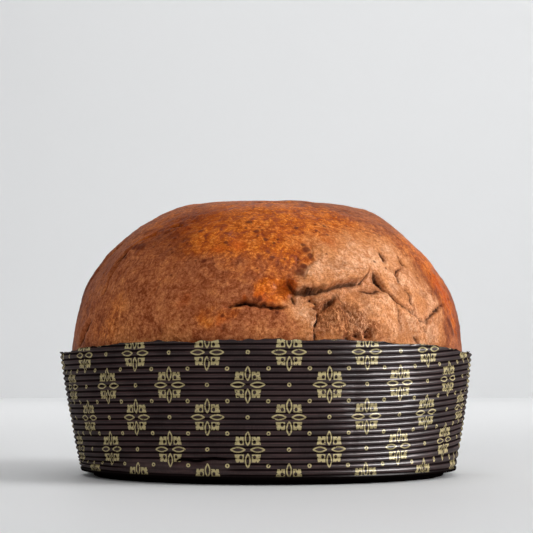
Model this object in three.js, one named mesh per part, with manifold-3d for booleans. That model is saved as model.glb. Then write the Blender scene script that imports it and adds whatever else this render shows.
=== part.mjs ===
// A panettone in its paper baking case: a tall sweet loaf that rose above the case as a browned dome.
// Millimetres, +Z up. The case stands on z = 0, its rim is centred on the Z axis, and the front faces -Y.
// An azimuth is measured round the Z axis from the front, in degrees, and grows towards +X.

import * as THREE from 'three';
import { mergeVertices } from 'three/addons/utils/BufferGeometryUtils.js';
import Module from 'manifold-3d';

const wasm = await Module();
wasm.setup();

// Paper case
const rimHeight = 72.5; // at the front and the back
const rimDip = 7.2; // how much lower the rim is at the two sides
const rimDipPower = 3; // keeps the rim level over a wide stretch at the front
const rimWave = 0.3; // small ups and downs of the cut edge
const footRadius = 96.6; // the flat underside
const edgeRadius = 5; // the rounded bottom edge
const wallLean = 0.215; // outward lean of the wall just above the bottom edge
const wallBow = 0.0009; // how the lean lessens on the way up, per mm
const wallThickness = 1.6;
const floorThickness = 1.2;
const ribPitch = 2.85;
const ribDepth = 0.7;
const ribDropLeft = 2.7; // the ribs run down to the left by this much at the rim
const ribRiseRight = 1.0; // and up to the right
const footOffset = 1.7; // the foot stands to the right of the rim's centre
const spareWall = 8; // the wall is turned this much too high, and then cut along the rim
const cutMargin = 10; // how far the cutting block reaches past the wall
const caseSegments = 54;

// Loaf inside the case
const fitGap = 0.45; // between loaf and paper, all over
const releaseHeight = 54; // above this the crust has drawn back from the paper
const releaseRise = 5; // the height over which it draws back
const loafOffset = 0.85; // the dome stands to the right of the rim's centre

// Dome
const neckHeight = 70.5;
const neckRadius = 105.5; // at the two sides
const neckFullness = 1.8; // wider than that at the front and the back
const topHeight = 147.8;
const shoulderPower = 2.6; // a higher power gives a squarer shoulder
const crownPower = 1.9;
const sideTop = 115; // the side rows end here and the crown rows begin
const reliefStart = 67; // no relief below this height
const reliefFull = 74;

// Facets of the loaf, closer together at the front, where the crust is torn
const loafSegments = 96;
const frontCrowding = 0.5;
const sideRows = 17;
const crownRows = 8;

const weldDistance = 1e-4;

// Relief of the crust. Each path is a run of [azimuth, height] pairs.
const cracks = [
  // slit left of the front
  { path: [[-11, 89], [-6.5, 91], [-2.5, 89.5]], depth: 3, width: 2.2 },
  // slit at the front
  { path: [[-2.5, 89.5], [2, 88.7], [6, 89.6]], depth: 2, width: 2 },
  // upright crease
  { path: [[13.5, 88], [12.8, 82], [12.4, 73]], depth: 2.6, width: 2.4 },
  // fork, left arm
  { path: [[34.5, 105], [37, 97], [39, 90.5], [45, 86.5], [50.3, 81.5]], depth: 2, width: 2.2 },
  // fork, right arm
  { path: [[50.3, 81.5], [57, 86.3], [62, 91], [67, 92]], depth: 1.6, width: 2.2 },
  // fold at the left
  { path: [[-54, 123], [-57, 115], [-58.7, 105], [-58.5, 98]], depth: 1.8, width: 2.8 },
  // fold low at the left
  { path: [[-62, 83], [-65.5, 75], [-69, 70]], depth: 1.8, width: 3 },
];

// The lip is a flap of crust that stands proud over torn crumb.
const lip = {
  path: [[6.5, 104], [7.2, 98], [11, 96.5], [18, 98.8], [26, 101.8], [30.5, 104.5], [33, 110]],
  rise: 2.2,
  sink: 2.6,
  edge: 2.4, // half of the step's width
  reachUp: 20,
  reachDown: 9,
};

const swellings = [
  // flap on the crown
  { at: [120, 147.4], height: 1.4, radius: 14 },
  // waist at the left
  { at: [-88, 83], height: -2.6, radius: 16 },
  // shoulder at the left
  { at: [-84, 102], height: 1, radius: 14 },
  // crown's edge at the left
  { at: [-90, 143], height: 1.6, radius: 22 },
  // fullness above the shoulder at the left
  { at: [-90, 124], height: 0.8, radius: 18 },
  // hollow above the shoulder at the right
  { at: [90, 120], height: -2.6, radius: 20 },
  // crown's edge at the right
  { at: [90, 141], height: 2.4, radius: 17 },
  // ridge below the lip
  { at: [18, 91], height: 1.8, radius: 5 },
  // cheek right of the crease
  { at: [33, 84], height: 1.8, radius: 14 },
  // hollow in the torn crumb
  { at: [21, 80], height: -1.8, radius: 8 },
  // swollen front
  { at: [-8, 100], height: 1.2, radius: 22 },
  // swollen back, left
  { at: [-140, 104], height: 1.8, radius: 26 },
  // swollen back, right
  { at: [150, 96], height: 1.6, radius: 24 },
];

// Slow waves over the whole dome: waves round it, waves from neck to top, size and phase
const waves = [
  { round: 3, up: 1.2, size: 0.5, phase: 0.6 },
  { round: 5, up: 2.3, size: 0.4, phase: 2.1 },
  { round: 9, up: 3.1, size: 0.25, phase: 4.4 },
];

const paperColour = '#2e2421';
const crustColour = '#a8602f';

const radians = THREE.MathUtils.degToRad;
const { lerp, smoothstep } = THREE.MathUtils;
const bell = (distance, radius) => Math.exp(-((distance / radius) ** 2));

// Joins the shared corners of a turned shape and drops the empty triangles at its poles.
function weld(geometry) {
  geometry.deleteAttribute('normal');
  geometry.deleteAttribute('uv');
  const welded = mergeVertices(geometry, weldDistance);
  const kept = [];
  for (let i = 0; i < welded.index.count; i += 3) {
    const corners = [0, 1, 2].map((k) => welded.index.getX(i + k));
    if (new Set(corners).size === 3) kept.push(...corners);
  }
  welded.setIndex(kept);
  return welded;
}

// Turns a profile of [radius, height] pairs round the Z axis. place(azimuth, radius, height) gives each
// corner its place.
function turned(profile, segments, place) {
  const points = profile.map(([radius, height]) => new THREE.Vector2(radius, height));
  const geometry = new THREE.LatheGeometry(points, segments).rotateX(Math.PI / 2);
  const position = geometry.attributes.position;
  const column = profile.length;
  for (let i = 0; i < position.count; i += 1) {
    const turn = Math.floor(i / column) % segments;
    const [radius, height] = profile[i % column];
    position.setXYZ(i, ...place((turn / segments) * 2 * Math.PI, radius, height));
  }
  return weld(geometry);
}

function around(azimuth, radius, height, offset) {
  return [radius * Math.sin(azimuth) + offset, -radius * Math.cos(azimuth), height];
}

function toSolid(geometry) {
  return new wasm.Manifold(new wasm.Mesh({
    numProp: 3,
    vertProperties: new Float32Array(geometry.attributes.position.array),
    triVerts: new Uint32Array(geometry.index.array),
  }));
}

function toGeometry(solid) {
  const mesh = solid.getMesh();
  const geometry = new THREE.BufferGeometry();
  geometry.setAttribute('position', new THREE.BufferAttribute(mesh.vertProperties, 3));
  geometry.setIndex(new THREE.BufferAttribute(mesh.triVerts, 1));
  return geometry;
}

// A quarter turn from the floor up to the wall, as [radius, height] pairs
function bottomEdge(centreRadius, centreHeight, reachOut, reachDown, steps) {
  return Array.from({ length: steps + 1 }, (_, i) => {
    const angle = (i / steps) * (Math.PI / 2);
    return [centreRadius + reachOut * Math.sin(angle), centreHeight - reachDown * Math.cos(angle)];
  });
}

function wallRadius(height) {
  const up = height - edgeRadius;
  return footRadius + edgeRadius + wallLean * up - wallBow * up ** 2;
}

// How far a rib of the rim's height runs off level
function ribTilt(azimuth) {
  const side = Math.sin(azimuth);
  return ((ribRiseRight + ribDropLeft) / 2) * side + ((ribRiseRight - ribDropLeft) / 2) * side ** 2;
}

function tilted(azimuth, height) {
  return height * (1 + ribTilt(azimuth) / rimHeight);
}

function caseOffset(height) {
  return footOffset * (1 - height / rimHeight);
}

function rimAt(azimuth) {
  const wave = Math.sin(7 * azimuth + 1) + Math.sin(13 * azimuth + 2.4);
  return rimHeight - rimDip * Math.abs(Math.sin(azimuth)) ** rimDipPower + rimWave * wave;
}

// The case is turned taller than it is, with its ribs, and cut along the rim.
function paperCase() {
  const spareHeight = rimHeight + spareWall;
  const insideSteps = 5;
  const outside = bottomEdge(footRadius, edgeRadius, edgeRadius, edgeRadius, 3);
  for (let height = edgeRadius + ribPitch / 2; height < spareHeight; height += ribPitch) {
    outside.push([wallRadius(height) - ribDepth, height]);
    outside.push([wallRadius(height + ribPitch / 2), height + ribPitch / 2]);
  }
  const inside = [];
  for (let i = 0; i < insideSteps; i += 1) {
    const height = lerp(spareHeight, edgeRadius, i / insideSteps);
    inside.push([wallRadius(height) - wallThickness, height]);
  }
  const inner = edgeRadius - wallThickness;
  const insideEdge = bottomEdge(footRadius, edgeRadius, inner, edgeRadius - floorThickness, 3);
  const profile = [[0, 0], ...outside, ...inside, ...insideEdge.reverse(), [0, floorThickness]];
  const shell = turned(profile, caseSegments, (azimuth, radius, height) => {
    const placed = tilted(azimuth, height);
    return around(azimuth, radius, placed, caseOffset(placed));
  });

  const cutInner = footRadius - cutMargin;
  const cutOuter = wallRadius(spareHeight) + cutMargin;
  const cutTop = spareHeight + cutMargin;
  const cutUnderside = [[0, rimHeight], [cutInner, rimHeight], [cutOuter, rimHeight]];
  const cutProfile = [...cutUnderside, [cutOuter, cutTop], [0, cutTop]];
  const waste = turned(cutProfile, caseSegments, (azimuth, radius, height) => {
    const onRim = radius > 0 && height === rimHeight;
    return around(azimuth, radius, onRim ? rimAt(azimuth) : height, 0);
  });
  return toGeometry(toSolid(shell).subtract(toSolid(waste)));
}

function domeRadius(height) {
  const up = THREE.MathUtils.clamp((height - neckHeight) / (topHeight - neckHeight), 0, 1);
  return neckRadius * (1 - up ** crownPower) ** (1 / shoulderPower);
}

function domePoint(azimuth, height) {
  return new THREE.Vector3(...around(azimuth, domeRadius(height), height, 0));
}

// The smooth dome's outward direction, as [radial, upward]
function domeNormal(radius, height) {
  const tall = topHeight - neckHeight;
  const up = Math.max(0, (height - neckHeight) / tall);
  const radial = (shoulderPower / neckRadius) * (radius / neckRadius) ** (shoulderPower - 1);
  const upward = (crownPower / tall) * up ** (crownPower - 1);
  const length = Math.hypot(radial, upward) || 1;
  return [radial / length, upward / length];
}

const toPoints = (path) => path.map(([degrees, height]) => domePoint(radians(degrees), height));
const crackPoints = cracks.map((crack) => toPoints(crack.path));
const lipPoints = toPoints(lip.path);
const swellingPoints = toPoints(swellings.map((swelling) => swelling.at));

// The nearest point of a run of points to a point, and its distance
function nearest(points, point) {
  const best = { distance: Infinity, at: new THREE.Vector3() };
  const segment = new THREE.Line3();
  const foot = new THREE.Vector3();
  for (let i = 1; i < points.length; i += 1) {
    segment.set(points[i - 1], points[i]).closestPointToPoint(point, true, foot);
    const distance = foot.distanceTo(point);
    if (distance < best.distance) {
      best.distance = distance;
      best.at.copy(foot);
    }
  }
  return best;
}

function lipRelief(point) {
  const { distance, at } = nearest(lipPoints, point);
  const signed = point.z > at.z ? distance : -distance;
  const above = smoothstep(signed, -lip.edge, lip.edge);
  const raised = lip.rise * bell(Math.max(signed, 0), lip.reachUp);
  const sunk = lip.sink * bell(Math.max(-signed, 0), lip.reachDown);
  return (above * raised - (1 - above) * sunk) * bell(distance, lip.reachUp);
}

// How far the crust stands out from the smooth dome
function relief(azimuth, height) {
  const point = domePoint(azimuth, height);
  const up = (height - neckHeight) / (topHeight - neckHeight);
  const steady = domeRadius(height) / neckRadius;
  let out = lipRelief(point);
  cracks.forEach((crack, i) => {
    out -= crack.depth * bell(nearest(crackPoints[i], point).distance, crack.width);
  });
  swellings.forEach((swelling, i) => {
    out += swelling.height * bell(swellingPoints[i].distanceTo(point), swelling.radius);
  });
  waves.forEach((wave) => {
    out += steady * wave.size * Math.sin(wave.round * azimuth + wave.up * Math.PI * up + wave.phase);
  });
  return out * smoothstep(height, reliefStart, reliefFull);
}

// Inside the case the loaf follows the paper, and above it it is the dome with its relief.
function loafPlace(turn, radius, height) {
  const azimuth = turn - frontCrowding * Math.sin(turn);
  if (height <= edgeRadius) return around(azimuth, radius, height, caseOffset(height));
  if (height <= releaseHeight) {
    const paper = wallRadius(height / (1 + ribTilt(azimuth) / rimHeight)) - wallThickness;
    return around(azimuth, paper - fitGap, height, caseOffset(height));
  }
  const free = smoothstep(height, releaseHeight, neckHeight);
  const offset = lerp(caseOffset(releaseHeight), loafOffset, free);
  const [radial, upward] = domeNormal(radius, height);
  const out = relief(azimuth, height);
  const fuller = 1 + (neckFullness / neckRadius) * Math.cos(azimuth) ** 2;
  return around(azimuth, radius * fuller + out * radial, height + out * upward, offset);
}

function loaf() {
  const floor = floorThickness + fitGap;
  const inWall = edgeRadius - wallThickness - fitGap;
  const lowerRows = 4;
  const neckRows = 3;
  const profile = [[0, floor], ...bottomEdge(footRadius, edgeRadius, inWall, edgeRadius - floor, 2)];
  for (let i = 1; i <= lowerRows; i += 1) {
    profile.push([0, lerp(edgeRadius, releaseHeight, i / lowerRows)]);
  }
  for (let i = 1; i <= neckRows; i += 1) {
    profile.push([neckRadius, lerp(releaseHeight + releaseRise, neckHeight, i / neckRows)]);
  }
  for (let i = 1; i <= sideRows; i += 1) {
    const height = lerp(neckHeight, sideTop, i / sideRows);
    profile.push([domeRadius(height), height]);
  }
  const crownRadius = domeRadius(sideTop);
  for (let i = 1; i <= crownRows; i += 1) {
    const radius = crownRadius * (1 - i / crownRows);
    const up = (1 - (radius / neckRadius) ** shoulderPower) ** (1 / crownPower);
    profile.push([radius, lerp(neckHeight, topHeight, up)]);
  }
  return turned(profile, loafSegments, loafPlace);
}

function namedMesh(name, geometry, colour, roughness) {
  const material = new THREE.MeshStandardMaterial({ color: colour, roughness, metalness: 0 });
  geometry.computeVertexNormals();
  const mesh = new THREE.Mesh(geometry, material);
  mesh.name = name;
  return mesh;
}

const panettone = new THREE.Group();
panettone.add(namedMesh('paper_case', paperCase(), paperColour, 0.55));
panettone.add(namedMesh('loaf', loaf(), crustColour, 0.5));

export default panettone;
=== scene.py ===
"""A panettone in its ribbed, gold-printed paper case, dressed over its solids.

Sizes are in millimetres until a mesh is finished, and in metres from there on. An azimuth is measured round
the Z axis from the front, which faces -Y, and grows towards +X.
"""
import math

import bmesh
import bpy
import numpy as np
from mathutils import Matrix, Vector, noise


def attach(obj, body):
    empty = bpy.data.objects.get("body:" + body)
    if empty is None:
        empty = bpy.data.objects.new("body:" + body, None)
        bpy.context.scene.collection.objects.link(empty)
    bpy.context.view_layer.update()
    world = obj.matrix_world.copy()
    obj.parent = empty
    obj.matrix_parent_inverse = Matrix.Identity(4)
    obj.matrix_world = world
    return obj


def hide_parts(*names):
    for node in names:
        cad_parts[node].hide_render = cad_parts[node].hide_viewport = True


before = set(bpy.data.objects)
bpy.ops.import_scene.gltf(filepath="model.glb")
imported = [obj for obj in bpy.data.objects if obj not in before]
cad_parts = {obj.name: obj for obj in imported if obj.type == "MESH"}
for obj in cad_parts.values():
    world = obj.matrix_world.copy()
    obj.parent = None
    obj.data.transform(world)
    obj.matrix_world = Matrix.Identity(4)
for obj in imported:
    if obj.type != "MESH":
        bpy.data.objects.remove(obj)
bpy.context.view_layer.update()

MM = 0.001
TURN = 2 * math.pi
# Corners closer than this are one
MERGE = 5e-3

# Paper case
RIM_HEIGHT = 72.5
RIM_DIP = 7.2
RIM_DIP_POWER = 3
RIM_WAVE = 0.3
RIM_TEAR = 0.54
FOOT_RADIUS = 96.6
EDGE_RADIUS = 5.0
WALL_LEAN = 0.215
WALL_BOW = 0.0009
WALL_THICKNESS = 1.6
FLOOR_THICKNESS = 1.2
STAND_RADIUS = 94.0
UNDERCUT = 2.1
FOOT_OFFSET = 1.7
SPARE_WALL = 6.0
CASE_WEDGES, CASE_COLUMNS = 20, 20

# Ribs of the paper, and the heights between which their drop and rise at the sides sets in. A rib's crest is
# 1 and its groove 0, with PLAIN_CREST where there are no ribs and IRONED_CREST where they are pressed flat.
RIB_PITCH = 2.85
RIB_DEPTH = 0.95
RIB_FULLNESS = 0.6
RIB_ROWS = 8
RIB_DROP_LEFT = 3.0
RIB_RISE_RIGHT = 4.2
RIB_LEVEL = (5.0, 15.0)
INVERSE_STEPS = 24
CRUSHED_SHARE = 0.3
PLAIN_CREST = 0.6
IRONED_CREST = 0.62
IRONED_SHARE = 0.85

# Damage to the paper, with azimuths in degrees. A stretch is given as its start, where it is full, where it
# fades and its end.
SPLIT_ENDS = (-30, -25, -14, -10)
SPLIT_MIDDLE = (-20, 12.6)
SPLIT_TILT = 0.1
SPLIT_WAVER = 0.5
SPLIT_DEPTH = 2.6
SPLIT_HALF_HEIGHT = 0.6
BULGE = 1.2
BULGE_BELOW = 3.6
BULGE_HALF_HEIGHT = 2.4
IRONED_ENDS = (-52, -44, -14, -8)
IRONED_HEIGHTS = (4.5, 6.0, 11.6, 12.6)
UNEVENNESS = 0.35
CRUMPLE = 1.3
CRUMPLE_PLACE, CRUMPLE_REACH = -46, 16
CRUMPLE_HEIGHTS = (17, 6)
CREASES = (9.0, 24.0, -63.0, 118.0, -150.0)
CREASE_DEPTH = 0.2
CREASE_HALF_WIDTH = 0.5
CREASE_HEIGHTS = (8, 20)
OVERLAP = 0.5
OVERLAP_ENDS = (150, 178)

# Printed ornaments: spacing along the wall and up it, the radius where the spacing is true, and one place
PRINT_PITCH = 41.1
PRINT_RADIUS = 109.0
PRINT_ROWS = 16.15
PRINT_START = 11.8
PRINT_HEIGHT = 66.5
STROKE = 0.68
INK_EDGE = 0.12
RING_RADIUS = 0.75
# Petals: distance from the ornament's middle to the petal's own, half length and half width
LEVEL_PETAL = (4.95, 3.5, 1.18)
UPRIGHT_PETAL = (5.6, 3.4, 1.16)
# The leaf shape between two petals: middle, half sizes, lean of its sides, its outer notches and its hole
LEAF_MIDDLE = (4.5, 4.4)
LEAF_HALF = (2.48, 2.0)
LEAF_LEAN = 0.09
NOTCH_POINT = (5.4, 4.2)
NOTCH_SLOPE = 0.45
LEAF_HOLE = (3.35, 3.8)
LEAF_HOLE_HALF = (0.85, 1.0)

# Loaf
FIT_GAP = 0.45
RELEASE_HEIGHT = 54.0
LOAF_OFFSET = 0.85
NECK_HEIGHT = 70.5
NECK_RADIUS = 105.5
NECK_FULLNESS = 1.8
TOP_HEIGHT = 147.8
SHOULDER_POWER = 2.6
CROWN_POWER = 1.9
RELIEF_START = 67.0
RELIEF_FULL = 74.0
LOAF_FLOOR = UNDERCUT + 0.9
HELD_HEIGHTS = (20.0, 37.0, RELEASE_HEIGHT)
FREE_HEIGHTS = (58.0, 61.5, 64.5, 66.5, 68.0, 69.3, NECK_HEIGHT)
LOAF_WEDGES, LOAF_COLUMNS = 20, 32
# Columns stand closer at the front, and rows closer up the side than on the crown
FRONT_CROWDING = (0.667, 0.083)
SIDE_STEP = 0.66
CROWN_STEP = 3.1
CROWN_REACH = (58, 125)
CURVE_SAMPLES = 4000

# Relief of the crust: how far its lines and spots wander, and the heights of its finer forms
RAGGED_WANDER = 1.0
LOOSE_WANDER = 4.0
LINE_WIDTH = 0.7
FAR_FROM_LINES = 9.0
LIP_SHARE = 0.2
LUMPS = 0.5
PEBBLES = 0.17
CRAG_HEIGHT = 2.8
WRINKLES = 1.3
CRUMB_PEBBLES = 0.15
SKIN_CELLS = 0.4
SKIN_CELL_SIZE = 7.5
HEM_HEIGHT = 1.6
HEM_HEIGHTS = (78, 71.5)
CRAG_LEAN = 0.55

# The camera stands level with the rim. FOCAL and the places are in pixels of the 533-pixel picture, and the
# distance and height in metres.
PICTURE = 533
FOCAL = 2235.0
RIM_CENTRE_X = 265.5
HORIZON_Y = 345.0
CAMERA_DISTANCE = 1.215
CAMERA_HEIGHT = 0.070
SENSOR = 36.0

# Colours of the paper
PAPER_DARK = (0.014, 0.0072, 0.0072, 1)
# Painted highlight: the lighter colour on the flanks of the ribs
PAPER_FLANK_HIGHLIGHT = (0.055, 0.028, 0.027, 1)
# Painted shade: the grooves, the split, below the bottom edge, the underside and the inside
PAPER_SHADE = (0.003, 0.0018, 0.0018, 1)
GOLD_INK = (0.49, 0.405, 0.205, 1)
THIN_INK = (0.75, 0.75, 0.72, 1)
FULL_INK = (1.1, 1.1, 1.1, 1)

# Colours of the crust
TAN = (0.57, 0.215, 0.078, 1)
TAN_LIGHT = (0.88, 0.50, 0.29, 1)
# Painted shade between the crumb's fibres and in its wrinkles' creases
TAN_IN_SHADE = (0.27, 0.085, 0.028, 1)
STRETCHED = (0.62, 0.235, 0.075, 1)
BROWN = (0.300, 0.076, 0.024, 1)
BROWN_LIGHT = (0.45, 0.148, 0.060, 1)
BROWN_DARK = (0.19, 0.042, 0.012, 1)
GLAZE_RED = (0.27, 0.038, 0.003, 1)
GLAZE_ORANGE = (0.60, 0.130, 0.004, 1)
GLAZE_GOLD = (0.82, 0.250, 0.022, 1)
EMBER = (0.50, 0.082, 0.005, 1)
# Painted shade inside the cracks and holes and along the feet of the ledges
CRACK_SHADE = (0.018, 0.006, 0.003, 1)
BLISTER_RED = (0.10, 0.016, 0.006, 1)
# Darker browning of the crust, and painted shade on its left and at its edges as seen from the front
BROWNING_AND_SHADE = (0.50, 0.36, 0.30, 1)
FLECK_DARK = (0.73, 0.60, 0.50, 1)
FLECK_LIGHT = (1.22, 1.29, 1.36, 1)


def smoothstep(low, high, value):
    t = np.clip((value - low) / (high - low), 0.0, 1.0)
    return t * t * (3 - 2 * t)


def between(stretch, value):
    """1 inside a stretch and 0 outside it: its start, where it is full, where it fades and its end."""
    start, full, fading, end = stretch
    return smoothstep(start, full, value) * smoothstep(end, fading, value)


def bell(distance, radius):
    return np.exp(-((distance / radius) ** 2))


def lerp(a, b, t):
    return a + (b - a) * t


def degrees(*path):
    """A path given as (azimuth in degrees, height) pairs, as two arrays."""
    turned_path = np.array(path, dtype=float)
    return np.radians(turned_path[:, 0]), turned_path[:, 1]


# The case's form

def wall_radius(height):
    up = height - EDGE_RADIUS
    return FOOT_RADIUS + EDGE_RADIUS + WALL_LEAN * up - WALL_BOW * up ** 2


def rib_shift(azimuth):
    """How far the ribs and the print stand above a level line: they dip at the left, climb at the right."""
    side = np.sin(azimuth)
    return RIB_RISE_RIGHT * np.maximum(side, 0) ** 4 - RIB_DROP_LEFT * np.maximum(-side, 0) ** 3


def lifted(azimuth, paper_height):
    """The height in the world of a height on the paper, which counts its ribs."""
    return paper_height + rib_shift(azimuth) * smoothstep(*RIB_LEVEL, paper_height)


def height_on_paper(azimuth, height):
    """The inverse of lifted, by repeated steps towards it."""
    paper_height = height
    for _ in range(INVERSE_STEPS):
        paper_height = height - rib_shift(azimuth) * smoothstep(*RIB_LEVEL, paper_height)
    return paper_height


def case_offset(height):
    return FOOT_OFFSET * (1 - height / RIM_HEIGHT)


def rim_drop(azimuth):
    """How far the rim lies below its full height: it dips at both sides, and its edge is wavy and torn."""
    wave = np.sin(7 * azimuth + 1) + np.sin(13 * azimuth + 2.4)
    tear = np.sin(41 * azimuth) * np.sin(17 * azimuth + 1) + 0.6 * np.sin(89 * azimuth + 2)
    return RIM_DIP * np.abs(np.sin(azimuth)) ** RIM_DIP_POWER - RIM_WAVE * wave - RIM_TEAR * tear


def quarter(centre_radius, centre_height, out, down, steps):
    """A quarter turn from the floor up to the wall, as (radius, height) pairs."""
    angles = [i / steps * math.pi / 2 for i in range(steps + 1)]
    return [(centre_radius + out * math.sin(a), centre_height - down * math.cos(a)) for a in angles]


def polar(points):
    """Azimuth, radius and height of points."""
    return np.arctan2(points[:, 0], -points[:, 1]), np.hypot(points[:, 0], points[:, 1]), points[:, 2]


def around(azimuth, radius, height, offset):
    return np.stack([radius * np.sin(azimuth) + offset, -radius * np.cos(azimuth), height], axis=1)


def spun(profile, wedges, columns):
    """A bmesh of a profile of (radius, height) pairs spun round the Z axis: one wedge, then its copies."""
    bm = bmesh.new()
    line = [bm.verts.new((radius, 0.0, height)) for radius, height in profile]
    edges = [bm.edges.new(pair) for pair in zip(line, line[1:])]
    round_z = {"cent": (0, 0, 0), "axis": (0, 0, 1), "dvec": (0, 0, 0)}
    bmesh.ops.spin(bm, geom=line + edges, angle=TURN / wedges, steps=columns, **round_z)
    wedge = list(bm.verts) + list(bm.edges) + list(bm.faces)
    rest = TURN * (wedges - 1) / wedges
    bmesh.ops.spin(bm, geom=wedge, angle=rest, steps=wedges - 1, use_duplicate=True, **round_z)
    bmesh.ops.remove_doubles(bm, verts=bm.verts, dist=MERGE)
    return bm


def corners_of(bm):
    return np.array([v.co for v in bm.verts])


def move_corners(bm, points):
    for vert, point in zip(bm.verts, points):
        vert.co = point


def finished(bm, name, material):
    """The bmesh as a smooth-shaded object in metres."""
    bmesh.ops.recalc_face_normals(bm, faces=bm.faces)
    bmesh.ops.scale(bm, vec=(MM, MM, MM), verts=bm.verts)
    for face in bm.faces:
        face.smooth = True
    mesh = bpy.data.meshes.new(name)
    bm.to_mesh(mesh)
    bm.free()
    mesh.materials.append(material)
    piece = bpy.data.objects.new(name, mesh)
    bpy.context.collection.objects.link(piece)
    return piece


def keep(piece, name, values):
    """Stores one number for each corner of a piece, for its material to read."""
    attribute = piece.data.attributes.new(name, "FLOAT", "POINT")
    attribute.data.foreach_set("value", np.asarray(values, dtype=np.float32))


def field(points, size, seed, octaves=4, roughness=0.8):
    """Soft noise of about -1 to 1, with lumps of the given size in millimetres."""
    shift = Vector((seed * 17.3, seed * 5.1, seed * 9.7))
    return np.array([noise.fractal(Vector(p) / size + shift, roughness, 2.0, octaves) for p in points])


def wandering(points, size, seeds, octaves):
    """Three such noises, as a shift of each point."""
    return np.stack([field(points, size, seed, octaves) for seed in seeds], axis=1)


def ridges(points, size, seed, octaves=4):
    """Noise with sharp crests, about 0 to 1."""
    shift = Vector((seed * 7.7, seed * 3.9, seed * 13.1))
    kind = (0.9, 2.1, octaves, 1.0, 2.0)
    return np.array([noise.ridged_multi_fractal(Vector(p) / size + shift, *kind) for p in points]) / 2.5


# Shader nodes

class Value:
    """A shader value that Python's operators work on. Each operation adds its Math node."""

    def __init__(self, shader, socket):
        self.shader = shader
        self.socket = socket

    def math(self, operation, *others):
        return self.shader.math(operation, self, *others)

    def __add__(self, other):
        return self.shader.math("ADD", self, other)

    def __radd__(self, other):
        return self.shader.math("ADD", other, self)

    def __sub__(self, other):
        return self.shader.math("SUBTRACT", self, other)

    def __rsub__(self, other):
        return self.shader.math("SUBTRACT", other, self)

    def __mul__(self, other):
        return self.shader.math("MULTIPLY", self, other)

    def __rmul__(self, other):
        return self.shader.math("MULTIPLY", other, self)

    def __truediv__(self, other):
        return self.shader.math("DIVIDE", self, other)

    def __abs__(self):
        return self.shader.math("ABSOLUTE", self)

    def __neg__(self):
        return self.shader.math("MULTIPLY", self, -1.0)


class Shader:
    """A material with one Principled surface."""

    def __init__(self, name):
        self.material = bpy.data.materials.new(name)
        self.material.use_nodes = True
        self.tree = self.material.node_tree
        self.surface = self.tree.nodes["Principled BSDF"]

    def node(self, kind, settings, inputs, output=0):
        """Adds a node: its settings first, then the value or link of each named or numbered socket."""
        node = self.tree.nodes.new(kind)
        for name, value in settings.items():
            setattr(node, name, value)
        for name, value in inputs.items():
            self.feed(node.inputs[name], value)
        return Value(self, node.outputs[output])

    def feed(self, socket, value):
        if isinstance(value, Value):
            self.tree.links.new(value.socket, socket)
        else:
            socket.default_value = value

    def math(self, operation, *values):
        return self.node("ShaderNodeMath", {"operation": operation}, dict(enumerate(values)))

    def mix(self, factor, a, b, kind="MIX"):
        """A colour between two colours, or one laid over another in one of the painting modes."""
        settings = {"data_type": "RGBA", "blend_type": kind}
        return self.node("ShaderNodeMix", settings, {0: factor, 6: a, 7: b}, 2)

    def step(self, value, low, high, to_low=0.0, to_high=1.0):
        """A soft step from one value to another."""
        inputs = {"Value": value, "From Min": low, "From Max": high, "To Min": to_low, "To Max": to_high}
        return self.node("ShaderNodeMapRange", {"interpolation_type": "SMOOTHSTEP"}, inputs)

    def minimum(self, a, b):
        return self.math("MINIMUM", a, b)

    def maximum(self, a, b):
        return self.math("MAXIMUM", a, b)

    def attribute(self, name):
        return self.node("ShaderNodeAttribute", {"attribute_name": name}, {}, "Fac")

    def place(self):
        return self.node("ShaderNodeTexCoord", {}, {}, "Object")

    def axis(self, vector, name):
        return self.node("ShaderNodeSeparateXYZ", {}, {0: vector}, name)

    def stretched(self, vector, scale, turn=(0.0, 0.0, 0.0)):
        return self.node("ShaderNodeMapping", {}, {"Vector": vector, "Rotation": turn, "Scale": scale})

    def noise(self, vector, size, detail=3.0, roughness=0.55, distortion=0.0):
        """Noise with lumps of the given size in millimetres, 0 to 1."""
        inputs = {"Vector": vector, "Scale": 1 / (size * MM), "Detail": detail, "Roughness": roughness,
                  "Distortion": distortion}
        return self.node("ShaderNodeTexNoise", {}, inputs)

    def cells(self, vector, size):
        """Distance from the middle of the nearest cell, for cells of the given size in millimetres."""
        inputs = {"Vector": vector, "Scale": 1 / (size * MM)}
        return self.node("ShaderNodeTexVoronoi", {}, inputs)

    def bump(self, height, strength, distance):
        inputs = {"Height": height, "Strength": strength, "Distance": distance * MM}
        return self.node("ShaderNodeBump", {}, inputs)

    def finish(self, **sockets):
        """Feeds the surface's sockets, with _ for a space in their names, and returns the material."""
        for name, value in sockets.items():
            self.feed(self.surface.inputs[name.replace("_", " ")], value)
        return self.material


# Printed paper

def fold(value, pitch, start):
    """Distance from the nearest of evenly spaced places."""
    counted = (value - start) / pitch
    return abs(counted - counted.math("ROUND")) * pitch


def distance(a, b):
    return (a * a + b * b).math("SQRT")


def stroke(shader, off_line):
    """1 inside the drawn line, by the distance from its middle."""
    return shader.step(abs(off_line), STROKE / 2 + INK_EDGE, STROKE / 2 - INK_EDGE)


def petal(shader, along, across, size):
    """The outline of a pointed petal."""
    middle, reach, half_width = size
    t = (along - middle) / reach
    edge = across / half_width + t * t - 1.0
    slope = (t * t * (4 * half_width ** 2 / reach ** 2) + 1.0).math("SQRT")
    inside_reach = shader.step(abs(t), 1.12, 1.02)
    return stroke(shader, edge * half_width / slope) * inside_reach


def outside_notch(shader, along, across):
    point_along, point_across = NOTCH_POINT
    depth = (along - point_along) * NOTCH_SLOPE - abs(across - point_across)
    return shader.step(depth, 0.15, -0.1)


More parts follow.
